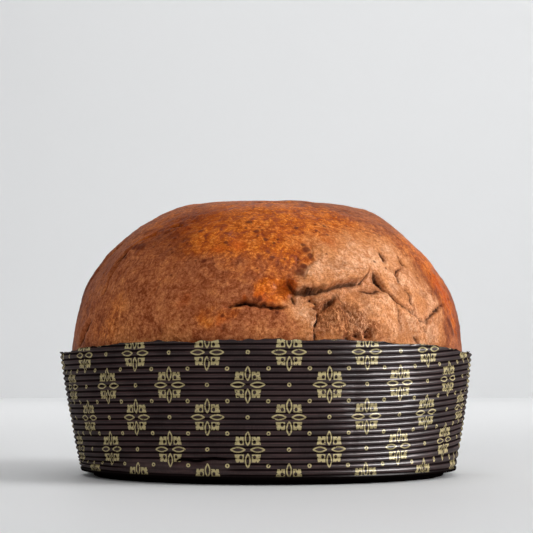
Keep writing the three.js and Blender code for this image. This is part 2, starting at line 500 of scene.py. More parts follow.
def leaf(shader, x, y):
    """The filled leaf shape between two petals, with a notch in its two outer sides and a hole."""
    middle_x, middle_y = LEAF_MIDDLE
    half_x, half_y = LEAF_HALF
    lean = y * LEAF_LEAN
    edge = shader.maximum(abs(x - middle_x + lean) + lean - half_x, abs(y - middle_y) - half_y)
    filled = shader.step(edge, INK_EDGE, -INK_EDGE)
    filled = filled * outside_notch(shader, x, y) * outside_notch(shader, y, x)
    hole_x = (x - LEAF_HOLE[0]) / LEAF_HOLE_HALF[0]
    hole_y = (y - LEAF_HOLE[1]) / LEAF_HOLE_HALF[1]
    return filled * shader.step(hole_x * hole_x + hole_y * hole_y, 0.6, 1.4)


def ornament(shader, x, y):
    """One quarter of an ornament, mirrored to the others by its folded x and y: 1 where there is ink."""
    petals = shader.maximum(petal(shader, x, y, LEVEL_PETAL), petal(shader, y, x, UPRIGHT_PETAL))
    return shader.maximum(petals, leaf(shader, x, y))


def printed_pattern(shader, place, height):
    """Rows of ornaments, every other row half a pitch further on, with small rings between them."""
    x = shader.axis(place, "X")
    y = shader.axis(place, "Y")
    radius = distance(x, y) * (1 / MM)
    azimuth = x.math("ARCTAN2", -y)
    wander = (shader.noise(place, size=9.0, detail=2.0) - 0.5) * 0.7
    along = azimuth * PRINT_RADIUS + (radius - PRINT_RADIUS) * (x * (1 / MM)) / radius + wander
    up = height + (shader.noise(place, size=7.0, detail=2.0) - 0.5) * 0.5

    own_x = fold(along, PRINT_PITCH, PRINT_START)
    own_y = fold(up, 2 * PRINT_ROWS, PRINT_HEIGHT)
    other_x = fold(along, PRINT_PITCH, PRINT_START + PRINT_PITCH / 2)
    other_y = fold(up, 2 * PRINT_ROWS, PRINT_HEIGHT + PRINT_ROWS)
    nearer = (own_x * (2 / PRINT_PITCH) + own_y * (1 / PRINT_ROWS)).math("LESS_THAN", 1.0)
    cell_x = nearer * own_x + (1 - nearer) * other_x
    cell_y = nearer * own_y + (1 - nearer) * other_y

    between_x = fold(along, PRINT_PITCH / 2, PRINT_START + PRINT_PITCH / 4)
    between_y = fold(up, PRINT_ROWS, PRINT_HEIGHT + PRINT_ROWS / 2)
    off_ring = shader.minimum(distance(between_x, between_y), distance(other_x, own_y))
    off_ring = shader.minimum(off_ring, distance(own_x, other_y))
    rings = shader.step(abs(off_ring - RING_RADIUS), 0.42, 0.24)
    return shader.maximum(ornament(shader, cell_x, cell_y), rings)


def printed_paper():
    """Dark glossy paper with gold ink, with painted highlights on the flanks of its ribs and painted shade in
    its grooves, which are also dull.
    """
    shader = Shader("printed baking paper")
    place = shader.place()
    height = shader.attribute("paper_height")
    crest = shader.attribute("crest")
    on_wall = shader.step(height, 4.0, 5.0)
    blots = shader.step(shader.noise(place, size=1.1, detail=2.0), 0.30, 0.42)
    # The ink is painted down to 0.6 of itself in the grooves, a painted shade
    ink = printed_pattern(shader, place, height) * on_wall * blots * shader.step(crest, 0.0, 0.5, 0.6, 1.0)

    fibres = shader.noise(shader.stretched(place, (1.0, 1.0, 0.25)), size=0.7, detail=3.0)
    cloud = shader.noise(place, size=22.0, detail=3.0)
    streaks = shader.noise(shader.stretched(place, (0.12, 0.12, 1.0)), size=1.3, detail=2.0)
    # Painted highlight on the flanks of the ribs, broken up by noise
    flank = shader.step(crest, 0.35, 0.7) * shader.step(crest, 0.8, 0.97, 1.0, 0.3)
    flank_highlight = flank * shader.step(cloud + fibres * 0.5, 0.45, 0.9) * shader.step(streaks, 0.3, 0.7, 0.45, 1.5)
    paper = shader.mix(flank_highlight * 0.9, PAPER_DARK, PAPER_FLANK_HIGHLIGHT)
    # Painted shade in the grooves between the ribs
    paper = shader.mix(shader.step(crest, 0.45, 0.05) * 0.85, paper, PAPER_SHADE)
    gold = shader.mix(1.0, GOLD_INK, shader.mix(fibres, THIN_INK, FULL_INK), "MULTIPLY")
    colour = shader.mix(ink, paper, gold)
    # Painted shade: black below the bottom edge's lit band, and under and inside the case
    colour = shader.mix(shader.step(height, 5.2, 4.2), colour, PAPER_SHADE)

    roughness = shader.step(fibres, 0.2, 0.8, 0.22, 0.32) + ink * 0.08 + shader.step(crest, 0.5, 0.1) * 0.3
    coat = shader.step(crest, 0.2, 0.8, 0.02, 0.2) * on_wall
    unevenness = fibres + shader.noise(place, size=3.0, detail=2.0)
    normal = shader.bump(unevenness, strength=0.5, distance=0.05)
    shader.finish(Specular_IOR_Level=0.0, Coat_IOR=2.2, Coat_Roughness=0.34)
    return shader.finish(Base_Color=colour, Roughness=roughness, Coat_Weight=coat, Normal=normal)


# Paper case

def case_profile():
    """The case's closed outline: under the floor, up the outside past the rim, and down the inside."""
    stand = [(0, 0), (STAND_RADIUS * 0.5, 0), (STAND_RADIUS * 0.9, 0), (STAND_RADIUS, 0.1)]
    undercut = [(STAND_RADIUS + 0.5, 0.6), (STAND_RADIUS + 0.7, UNDERCUT)]
    undercut.append((FOOT_RADIUS + 0.9, UNDERCUT + 0.25))
    bottom_edge = quarter(FOOT_RADIUS, EDGE_RADIUS, EDGE_RADIUS, EDGE_RADIUS, 12)
    outside = stand + undercut + [point for point in bottom_edge if point[1] > UNDERCUT + 0.6]
    top = RIM_HEIGHT + SPARE_WALL
    rows = int((top - EDGE_RADIUS) / RIB_PITCH * RIB_ROWS)
    for row in range(1, rows + 1):
        height = EDGE_RADIUS + row * RIB_PITCH / RIB_ROWS
        outside.append((wall_radius(height), height))
    inside = []
    for height in np.linspace(top, EDGE_RADIUS, 13):
        inside.append((wall_radius(height) - WALL_THICKNESS, height))
    inner = EDGE_RADIUS - WALL_THICKNESS
    inside_edge = quarter(FOOT_RADIUS, EDGE_RADIUS, inner, EDGE_RADIUS - UNDERCUT - 0.8, 4)
    floor = [(STAND_RADIUS - 2, UNDERCUT + 0.5), (FOOT_RADIUS * 0.6, FLOOR_THICKNESS), (0, FLOOR_THICKNESS)]
    return outside + inside + inside_edge[::-1][1:] + floor


def rib_crest(height):
    """0 in the groove between two ribs, 1 on a rib's crest."""
    return (0.5 - 0.5 * np.cos(TURN * (height - EDGE_RADIUS) / RIB_PITCH)) ** RIB_FULLNESS


def split_at(azimuth, height, below=0.0, half_height=SPLIT_HALF_HEIGHT):
    """1 in the long split low at the front, or in a band lying that much below it."""
    turned_by = np.degrees(azimuth)
    middle_azimuth, middle_height = SPLIT_MIDDLE
    middle = middle_height + SPLIT_WAVER * np.sin(azimuth * 40) + SPLIT_TILT * (turned_by - middle_azimuth)
    return between(SPLIT_ENDS, turned_by) * bell(height - middle + below, half_height)


def ironed(azimuth, height):
    """1 on the flattened strip below the split, where the ribs are almost gone."""
    return between(IRONED_ENDS, np.degrees(azimuth)) * between(IRONED_HEIGHTS, height)


def case_dents(points, azimuth, height):
    """How far the paper stands out: unevenness, crumpling, creases, the split and the overlap at the back."""
    turned_by = np.degrees(azimuth)
    out = UNEVENNESS * field(points, size=38.0, seed=3, octaves=3)
    crumpled = bell(turned_by - CRUMPLE_PLACE, CRUMPLE_REACH) * smoothstep(*CRUMPLE_HEIGHTS, height)
    out += crumpled * CRUMPLE * field(points, size=7.0, seed=8, octaves=3)
    out -= SPLIT_DEPTH * split_at(azimuth, height)
    out += BULGE * split_at(azimuth, height, BULGE_BELOW, BULGE_HALF_HEIGHT)
    for crease in CREASES:
        across = bell(turned_by - crease, CREASE_HALF_WIDTH)
        out -= CREASE_DEPTH * across * smoothstep(*CREASE_HEIGHTS, height)
    return out + OVERLAP * smoothstep(*OVERLAP_ENDS, turned_by)


def cut_at_rim(bm):
    """Takes off the spare wall above the rim and closes the cut."""
    whole = list(bm.verts) + list(bm.edges) + list(bm.faces)
    bmesh.ops.bisect_plane(bm, geom=whole, dist=1e-4, plane_co=(0, 0, RIM_HEIGHT), plane_no=(0, 0, 1),
                           clear_outer=True)
    bmesh.ops.bridge_loops(bm, edges=[edge for edge in bm.edges if edge.is_boundary])


def paper_case():
    """The case is bent so that its rim lies level, cut there, and then bent back and ribbed."""
    bm = spun(case_profile(), CASE_WEDGES, CASE_COLUMNS)
    azimuth, radius, paper_height = polar(corners_of(bm))
    skin = radius - wall_radius(paper_height)
    height = lifted(azimuth, paper_height)
    radius = np.where(paper_height > EDGE_RADIUS, wall_radius(height) + skin, radius)
    move_corners(bm, around(azimuth, radius, height + rim_drop(azimuth), 0))
    cut_at_rim(bm)

    azimuth, radius, height = polar(corners_of(bm))
    height = height - rim_drop(azimuth)
    paper_height = height_on_paper(azimuth, height)
    outer = radius > wall_radius(height) - WALL_THICKNESS / 2
    on_ribs = outer & (paper_height > EDGE_RADIUS - 0.01)
    points = around(azimuth, radius, height, 0)
    crushed = 1 - CRUSHED_SHARE * smoothstep(0.1, 0.6, field(points, size=12.0, seed=5, octaves=2))
    dents = case_dents(points, azimuth, height) * smoothstep(3.0, 7.0, height)
    crest = np.where(on_ribs, rib_crest(paper_height), PLAIN_CREST)
    crest = lerp(crest, IRONED_CREST, np.where(on_ribs, IRONED_SHARE * ironed(azimuth, height), 0))
    grooves = np.where(on_ribs, RIB_DEPTH * crushed * (1 - crest), 0)
    radius = radius + np.where(radius > FOOT_RADIUS, dents, 0) - grooves
    # The split is painted like a groove, a painted shade, and takes no coat
    crest = crest * (1 - np.where(outer, split_at(azimuth, height), 0))
    move_corners(bm, around(azimuth, radius, height, case_offset(height)))
    piece = finished(bm, "ribbed_paper_case", printed_paper())
    # The inside and the underside get a low paper height, which paints them in shade
    keep(piece, "paper_height", np.where(outer, paper_height, -20.0))
    keep(piece, "crest", crest)
    return piece


# Crust

def dome_radius(height):
    up = np.clip((height - NECK_HEIGHT) / (TOP_HEIGHT - NECK_HEIGHT), 0, 1)
    return NECK_RADIUS * (1 - up ** CROWN_POWER) ** (1 / SHOULDER_POWER)


def on_dome(azimuth, height):
    return around(azimuth, dome_radius(height), height, 0)


def dome_normal(radius, height):
    """The smooth dome's outward direction, as radial and upward shares."""
    tall = TOP_HEIGHT - NECK_HEIGHT
    up = np.clip((height - NECK_HEIGHT) / tall, 0, 1)
    radial = SHOULDER_POWER / NECK_RADIUS * (radius / NECK_RADIUS) ** (SHOULDER_POWER - 1)
    upward = CROWN_POWER / tall * up ** (CROWN_POWER - 1)
    length = np.maximum(np.hypot(radial, upward), 1e-9)
    return radial / length, upward / length


# Swellings and hollows of the whole form: place, height and radius
SWELLINGS = (
    ((120, 147.4), 1.4, 14),   # flap on the crown
    ((-88, 83), -2.6, 16),     # waist at the left
    ((-84, 102), 1.0, 14),     # shoulder at the left
    ((-90, 143), 1.6, 22),     # crown's edge at the left
    ((-90, 124), 0.8, 18),     # fullness above the shoulder at the left
    ((90, 120), -2.6, 20),     # hollow above the shoulder at the right
    ((90, 141), 2.4, 17),      # crown's edge at the right
    ((18, 91), 1.8, 5),        # ridge below the lip
    ((33, 84), 1.8, 14),       # cheek right of the crease
    ((21, 80), -1.8, 8),       # hollow in the torn crumb
    ((-8, 100), 1.2, 22),      # swollen front
    ((-140, 104), 1.8, 26),    # swollen back, left
    ((150, 96), 1.6, 24),      # swollen back, right
)
# Waves round the dome, waves from neck to top, size and phase
WAVES = ((3, 1.2, 0.5, 0.6), (5, 2.3, 0.4, 2.1), (9, 3.1, 0.25, 4.4))
# Cracks: path, depth, half width, and how dark the painted shade inside them is
CRACKS = (
    (degrees((-11.4, 88.9), (-8.5, 90.2), (-6.4, 91), (-4.5, 90.6), (-2.4, 89.6)), 4.4, 0.85, 1.0),
    (degrees((-2.6, 89.6), (0, 88.9), (2.2, 88.7), (5.4, 89.5)), 2.8, 0.55, 0.95),
    (degrees((7.6, 97.5), (7.2, 94.5), (7.4, 92), (7.8, 90.5)), 1.6, 0.9, 0.7),
    (degrees((10.0, 97.0), (12.0, 97.0), (14.8, 98.2)), 1.2, 0.8, 1.0),
    (degrees((-18, 145), (0, 145.9), (20, 146.1), (40, 145.4)), 1.4, 0.9, 0.9),
    (degrees((34.2, 107), (35.1, 101.8), (36.7, 97.8)), 2.6, 1.0, 1.0),
    (degrees((36, 98.6), (37.4, 95.5), (39.1, 92.4), (41.5, 89.4), (44.3, 87.4)), 1.9, 0.5, 0.8),
    (degrees((44, 87.5), (45.4, 85.7), (47.4, 83), (50.3, 81.2)), 2.2, 0.6, 1.0),
    (degrees((50.3, 81.2), (52.7, 84.1), (56.9, 87.3), (61.8, 90.9), (65.8, 91.7)), 1.5, 0.6, 0.85),
    (degrees((45.6, 87), (46.4, 89.5), (45.4, 92), (45.8, 95), (44.8, 98)), 1.3, 0.5, 0.75),
    (degrees((28.5, 98.4), (30.6, 97.6), (33, 97.6), (35.7, 96.9)), 1.2, 0.5, 0.8),
    (degrees((41.6, 118.2), (41.2, 116), (41.6, 113.6)), 1.9, 0.8, 0.95),
    (degrees((50.6, 116.6), (50.4, 114), (51.2, 111.4)), 1.7, 0.8, 0.95),
    (degrees((49, 110.5), (45.4, 109), (43.8, 106), (43.6, 102.4)), 1.6, 0.6, 0.8),
    (degrees((39.2, 90), (39, 83), (39.6, 77.4)), 0.8, 0.6, 0.4),
    (degrees((44.9, 74.4), (47.8, 69.3)), 1.0, 0.6, 0.6),
    (degrees((48.4, 78.6), (50.4, 76.6)), 0.9, 0.6, 0.5),
    (degrees((19.9, 92.5), (24, 81.5), (27, 77.5)), 0.9, 0.6, 0.35),
    (degrees((20.5, 96.2), (18, 91.5), (16, 88.6)), 1.8, 1.3, 0.75),
    (degrees((-49, 128), (-54, 123.5), (-56.3, 118), (-57.6, 111), (-58.6, 105), (-58.4, 97)),
     2.0, 0.7, 1.0),
    (degrees((-51.5, 126), (-56.4, 120), (-59, 113), (-60.6, 106)), 1.2, 0.5, 0.9),
    (degrees((-62.5, 82), (-65.6, 75.2), (-69, 69)), 2.0, 1.3, 0.8),
    (degrees((-71, 124), (-76, 117), (-79, 108), (-80, 100)), 1.6, 1.6, 0.6),
    (degrees((-44, 131), (-40.5, 132), (-37, 131.5)), 1.2, 0.9, 0.7),
    (degrees((-33, 104), (-33.4, 98), (-35, 93)), 0.5, 0.6, 0.3),
    (degrees((128, 118), (139, 108), (143, 95), (151, 84)), 2.0, 1.4, 0.8),
    (degrees((151, 84), (160, 88), (171, 86)), 1.5, 1.4, 0.7),
    (degrees((-120, 96), (-131, 90), (-138, 92)), 1.7, 1.4, 0.8),
)
# Ledges: path with the raised side at its left, rise, sink, edge width, reach on the raised side and on the
# sunk side, and how dark the painted shadow along the foot is
LEDGES = (
    (degrees((6.5, 104), (6.9, 99.5), (8.6, 97.2), (11, 96.7), (13.5, 98.0), (17.7, 98.8), (19.7, 100.7),
             (25.6, 101.8), (29.2, 102.9), (30.8, 105.2), (32.4, 109)),
     2.6, 4.2, 0.65, 18.0, 9.5, 0.75),
    (degrees((12.0, 70), (12.4, 76), (13.2, 82), (13.6, 86.5), (12.6, 90)), 1.2, 6.0, 0.9, 5.0, 9.5, 0.9),
    (degrees((24, 84), (21.6, 89), (20.8, 93), (20.4, 97.6)), 0.5, 1.2, 0.9, 5.0, 6.0, 0.35),
    (degrees((62, 92), (57, 87.8), (52.6, 84.4), (50.3, 81.4), (47.4, 83.2), (44, 87.6)),
     0.9, 0.5, 1.2, 8.0, 6.0, 0),
)
# Small holes: place, depth and radius
HOLES = (
    ((-30.5, 77), 1.6, 1.2), ((-11.8, 78), 0.8, 1.1), ((-31.4, 123.3), 0.7, 1.2),
    ((12.8, 93.6), 1.8, 1.6), ((13.6, 91.4), 1.4, 1.4), ((28.3, 76.2), 3.4, 1.4),
    ((28.3, 74.0), 3.0, 1.2), ((24.8, 74.4), 2.2, 1.8), ((22, 73), 1.8, 1.6), ((-44, 112), 0.6, 0.8),
    ((9.5, 113.2), 1.0, 0.9), ((9.4, 111.4), 0.9, 0.7), ((-70, 92), 1.0, 1.0), ((99, 101), 1.3, 1.3),
    ((-108, 118), 1.2, 1.4), ((174, 112), 1.3, 1.4), ((131, 80), 1.4, 1.2), ((-165, 77), 1.5, 1.5),
)
# Where the crust is darker, partly its own deeper browning and partly painted shade on its left and at its
# left and right edges as seen from the front: place, radius and share
BROWNED_AND_SHADED = (
    ((83, 92), 11, 1.3), ((85, 112), 13, 1.3), ((78, 80), 11, 1.1), ((74, 100), 8, 0.5),
    ((62, 76), 8, 0.5), ((-89, 84), 9, 1.2), ((58, 86), 15, 1.2), ((56, 104), 13, 1.0),
    ((-85, 104), 15, 1.6), ((-40, 126), 14, 0.6), ((-78, 90), 8, 0.7), ((-45, 133), 12, 0.7),
    ((-66, 112), 9, 0.6), ((-28, 118), 12, 0.5), ((-33, 138), 16, 0.9), ((-62, 92), 7, 0.25),
    ((-20, 90), 9, 0.4), ((150, 118), 20, 0.8), ((-160, 128), 22, 0.8), ((120, 90), 10, 0.7),
)
# Dark red blisters in the glaze: place and radius
BLISTERS = (
    ((-3.8, 128.0), 2.0), ((11.4, 129.7), 1.9), ((-0.4, 123.2), 1.5), ((3.5, 123.2), 1.3),
    ((13.0, 118.0), 2.6), ((12.3, 120.4), 1.7), ((13.6, 114.4), 2.2), ((-7.4, 132.5), 1.6),
    ((-26, 128), 1.9), ((24, 131), 1.6), ((-14, 121), 1.5), ((66.0, 81.5), 4.2), ((68.0, 77.5), 3.6),
    ((-49.4, 120.4), 3.6), ((-53, 120.6), 2.6), ((-20, 112), 1.6), ((-12, 84), 1.5), ((-2, 92.5), 1.8),
    ((9.6, 106), 3.0), ((11, 109), 2.4), ((2.5, 86.5), 1.2),
)
# Where the skin stretched and tore into matte light crumb: place, radius and share
TORN = (
    ((9, 91), 7, 0.9), ((14, 82), 10, 0.8), ((20, 92), 15, 1), ((30, 100), 15, 1), ((27, 82), 17, 1),
    ((36, 110), 13, 0.8), ((50, 112), 12, 0.7), ((42, 104), 17, 1), ((41, 88), 20, 1), ((50, 96), 15, 1),
    ((51, 80), 17, 1), ((57, 84), 10, 0.9), ((12, 102), 8, 0.9), ((18, 107), 9, 0.9), ((7.5, 96), 3, 0.8),
    ((-46, 77), 16, 0.42), ((-25, 74), 12, 0.4), ((0, 74), 12, 0.3), ((24, 111), 11, 1),
    ((31, 115), 10, 0.8), ((30, 124), 13, 0.5), ((46, 124), 12, 0.5), ((14, 122), 9, 0.35),
    ((146, 84), 20, 1), ((133, 92), 18, 1), ((160, 80), 16, 1), ((-128, 84), 14, 1), ((-141, 80), 15, 1),
)
# Where the torn crumb is coarse and craggy: place, radius and share
CRAGS = (
    ((17, 82), 8, 1), ((24, 79), 9, 1), ((17, 92), 6, 0.8), ((23, 88), 6, 0.8), ((31, 74), 7, 0.8),
    ((9, 93), 3.5, 0.5), ((148, 82), 12, 1), ((-134, 82), 10, 1),
)
# Where the egg-washed skin stayed glossy and orange: place, radius and share
GLAZED = (
    ((-14, 138), 34, 1), ((20, 133), 32, 1), ((-14, 128), 20, 0.8), ((9, 119), 14, 0.9),
    ((3, 101), 6, 0.8), ((2, 96), 7, 1), ((-9, 86), 5, 0.6), ((-17, 83), 6, 0.7), ((-50, 80), 13, 0.75),
    ((72, 114), 24, 0.9), ((71, 98), 13, 1.0), ((73, 86), 11, 1.0), ((-50, 131), 14, 0.6),
    ((180, 140), 50, 0.55), ((-90, 140), 26, 0.8), ((-150, 118), 30, 0.6), ((112, 120), 32, 0.8),
    ((180, 100), 20, 0.4),
)
# Where the glaze ran together into smooth red: place, radius and share
REDDENED = (
    ((5, 101), 5, 1), ((0, 94.5), 4, 1), ((-6, 93.5), 3, 0.8), ((-10, 121), 7, 0.7), ((-18, 119), 6, 0.7),
    ((33, 121), 6, 0.7), ((23, 122), 6, 0.6), ((68, 104), 7, 1), ((70, 96), 6, 1), ((6, 128), 7, 0.6),
    ((-24, 92), 5, 0.5), ((-12, 83), 4, 0.7), ((170, 126), 10, 0.8), ((-120, 120), 9, 0.7),
    ((105, 112), 9, 0.8),
)


def drawn_specks(count, seed):
    """Small blisters all over the glazed crown, as places and radii."""
    draw = np.random.default_rng(seed)
    turned_by = draw.uniform(-180, 180, count)
    height = draw.uniform(105, 146, count)
    radius = draw.uniform(0.7, 1.5, count)
    return list(zip(zip(turned_by, height), radius))


def near_path(points, path):
    """Distance from a run of points on the dome, +1 on its left or -1, and how far along it the foot lies."""
    stops = on_dome(*path)
    best = np.full(len(points), np.inf)
    side = np.ones(len(points))
    progress = np.zeros(len(points))
    count = len(stops) - 1
    outward = points - np.array([0, 0, NECK_HEIGHT])
    for i in range(count):
        start, run = stops[i], stops[i + 1] - stops[i]
        from_start = points - start
        t = np.clip(from_start @ run / (run @ run), 0, 1)
        off_run = np.linalg.norm(from_start - t[:, None] * run, axis=1)
        turned_out = np.einsum("ij,ij->i", np.cross(run, from_start), outward)
        closer = off_run < best
        best = np.where(closer, off_run, best)
        side = np.where(closer, np.where(turned_out > 0, 1.0, -1.0), side)
        progress = np.where(closer, (i + t) / count, progress)
    return best, side, progress


def distance_from(points, place):
    """Distance of points from one place on the smooth dome."""
    centre = on_dome(*degrees(place))[0]
    return np.linalg.norm(points - centre, axis=1)


def spots(points, places):
    """Soft sum of round spots, each about its share at its centre."""
    total = np.zeros(len(points))
    for place, radius, share in places:
        total += share * bell(distance_from(points, place), radius)
    return total


class DarkLines:
    """The line nearest to each corner: the distance in line widths, and how dark its painted shade is there.
    """

    def __init__(self, count):
        self.gap = np.full(count, FAR_FROM_LINES)
        self.shade = np.zeros(count)

    def add(self, gap, darkness):
        closer = gap < self.gap
        self.gap[closer] = gap[closer]
        self.shade[closer] = np.broadcast_to(darkness, gap.shape)[closer]


def swollen(smooth, azimuth, height):
    """Swellings, hollows and waves of the whole form."""
    out = np.zeros(len(smooth))
    for place, rise, radius in SWELLINGS:
        out += rise * bell(distance_from(smooth, place), radius)
    up = (height - NECK_HEIGHT) / (TOP_HEIGHT - NECK_HEIGHT)
    narrowing = dome_radius(height) / NECK_RADIUS
    for waves_round, waves_up, size, phase in WAVES:
        out += narrowing * size * np.sin(waves_round * azimuth + waves_up * math.pi * up + phase)
    return out


def stepped(points, lines):
    """Ledges: the crust raised on one side of a path and sunk on the other, with a painted shadow along the
    foot.
    """
    out = np.zeros(len(points))
    for path, rise, sink, edge, reach_raised, reach_sunk, dark in LEDGES:
        off_path, side, progress = near_path(points, path)
        signed = off_path * side
        raised = smoothstep(-edge, edge, signed)
        ends = between((0, 0.08, 0.9, 1), progress)
        upper = rise * (bell(np.maximum(signed, 0), reach_raised) + 0.35 * bell(signed - 2 * edge, 2 * edge))
        lower = sink * bell(np.maximum(-signed, 0), reach_sunk)
        out += ends * (raised * upper - (1 - raised) * lower)
        if dark:
            lines.add(np.abs(signed + edge) / max(edge, LINE_WIDTH), dark * ends)
    return out


def cracked(points, lines):
    """Cracks: grooves with low lips, widest and deepest half way along, with painted shade inside them."""
    out = np.zeros(len(points))
    for path, depth, width, dark in CRACKS:
        off_path, _, progress = near_path(points, path)
        taper = np.sqrt(np.clip(np.sin(math.pi * (0.04 + 0.92 * progress)), 0, 1))
        breadth = width * (0.55 + 0.6 * taper)
        groove = bell(off_path, np.maximum(breadth, LINE_WIDTH)) + 0.3 * bell(off_path, 3.2 * breadth)
        lips = bell(off_path - 3.0 * width, 2.2 * width)
        out += taper * depth * (LIP_SHARE * lips - groove)
        lines.add(off_path / np.maximum(breadth, LINE_WIDTH), dark * taper)
    return out


def pierced(points, lines):
    """Small holes, with painted shade in them."""
    out = np.zeros(len(points))
    for place, depth, radius in HOLES:
        off_place = distance_from(points, place)
        out -= depth * bell(off_place, radius)
        lines.add(off_place / radius + 0.35, 0.9)
    return out


def blistered(smooth, ragged):
    """Blisters and specks of the glaze: how far they stand out, and where they are dark red."""
    out = np.zeros(len(smooth))
    red = np.zeros(len(smooth))
    for place, radius in BLISTERS:
        off_place = distance_from(ragged, place)
        red = np.maximum(red, bell(off_place, radius))
        out += 0.18 * radius * bell(off_place, 0.9 * radius)
    for place, radius in drawn_specks(count=170, seed=5):
        off_place = distance_from(smooth, place)
        red = np.maximum(red, 0.8 * bell(off_place, radius))
        out += 0.2 * radius * bell(off_place, radius)
    return out, red


def fine_relief(smooth, loose, height, fields):
    """Lumps and pebbles of the skin, wrinkles and crags of the torn crumb, and the ragged hem at the rim."""
    torn, crags = fields["torn"], fields["crags"]
    matte = smoothstep(0.4, 0.8, torn)
    shining = smoothstep(0.4, 0.9, fields["glazed"]) * (1 - matte)
    lumps = field(smooth, size=15.0, seed=41, octaves=3)
    pebbles = field(smooth, size=3.2, seed=42, octaves=4)
    leaning = smooth @ np.array([[1, 0, CRAG_LEAN], [0, 1, 0], [-CRAG_LEAN, 0, 1]])
    fibres = ridges(leaning * np.array([0.7, 0.7, 1.3]), size=5.0, seed=43, octaves=5)
    wrinkles = ridges(loose, size=11.0, seed=46, octaves=3)
    skin_cells = np.array([noise.voronoi(Vector(p) / SKIN_CELL_SIZE)[0][0] for p in loose])
    out = LUMPS * lumps + PEBBLES * pebbles
    out += CRAG_HEIGHT * crags * (fibres - 0.5)
    out += (matte - crags) * (WRINKLES * (wrinkles - 0.5) + CRUMB_PEBBLES * pebbles)
    out += SKIN_CELLS * shining * (0.5 - skin_cells)
    hem = smoothstep(*HEM_HEIGHTS, height) * smoothstep(0.2, 0.7, torn + 0.2)
    out += HEM_HEIGHT * hem * (ridges(smooth, size=4.2, seed=45, octaves=3) - 0.5)
    # Where painted shade lies in the wrinkles' creases, as a share
    crease_shade = smoothstep(*np.percentile(wrinkles, (30, 8)), wrinkles)
    return out, crease_shade


def crust_relief(azimuth, height):
    """How far the crust stands out of the smooth dome, and the fields that its colours follow."""
    smooth = on_dome(azimuth, height)
    ragged = smooth + RAGGED_WANDER * wandering(smooth, size=4.0, seeds=(21, 22, 23), octaves=2)
    loose = smooth + LOOSE_WANDER * wandering(smooth, size=13.0, seeds=(31, 32, 33), octaves=4)
    fields = {
        "torn": spots(loose, TORN),
        "crags": smoothstep(0.25, 0.8, spots(loose, CRAGS)),
        "glazed": spots(loose, GLAZED),
        "browned_and_shaded": spots(loose, BROWNED_AND_SHADED),
        "reddened": spots(loose, REDDENED),
    }
    lines = DarkLines(len(smooth))
    out = swollen(smooth, azimuth, height)
    out += stepped(ragged, lines)
    out += cracked(ragged, lines)
    out += pierced(ragged, lines)
    blisters, fields["blistered"] = blistered(smooth, ragged)
    fine, fields["crease_shade"] = fine_relief(smooth, loose, height, fields)
    fields["gap"] = lines.gap
    fields["shade"] = lines.shade
    return out + blisters + fine, fields


def browned_skin(shader, cloud, patch, grain):
    skin = shader.mix(shader.step(cloud * 0.6 + patch * 0.4, 0.30, 0.58), BROWN_DARK, BROWN)
    return shader.mix(shader.step(patch + grain * 0.6, 0.60, 1.06), skin, BROWN_LIGHT)


def egg_glaze(shader, patch, grain):
    glaze = shader.mix(shader.step(patch, 0.30, 0.60), GLAZE_RED, GLAZE_ORANGE)
    return shader.mix(shader.step(patch * 0.8 + grain * 1.2, 1.0, 1.26), glaze, GLAZE_GOLD)


def torn_crumb(shader, cloud, patch, fibre, crags):
    """Light crumb, tan where the skin only stretched, with painted shade in deep tan between its fibres and
    in its creases.
    """
    crumb = shader.mix(shader.step(patch + fibre * 0.9, 0.74, 1.14), TAN, TAN_LIGHT)
    crumb = shader.mix(shader.step(cloud + patch * 0.5, 0.62, 0.9, 0.0, 0.85), crumb, STRETCHED)
    crumb = shader.mix(crags * shader.step(fibre, 0.62, 0.42), crumb, TAN_IN_SHADE)
    return shader.mix(shader.attribute("crease_shade") * 0.32, crumb, TAN_IN_SHADE)


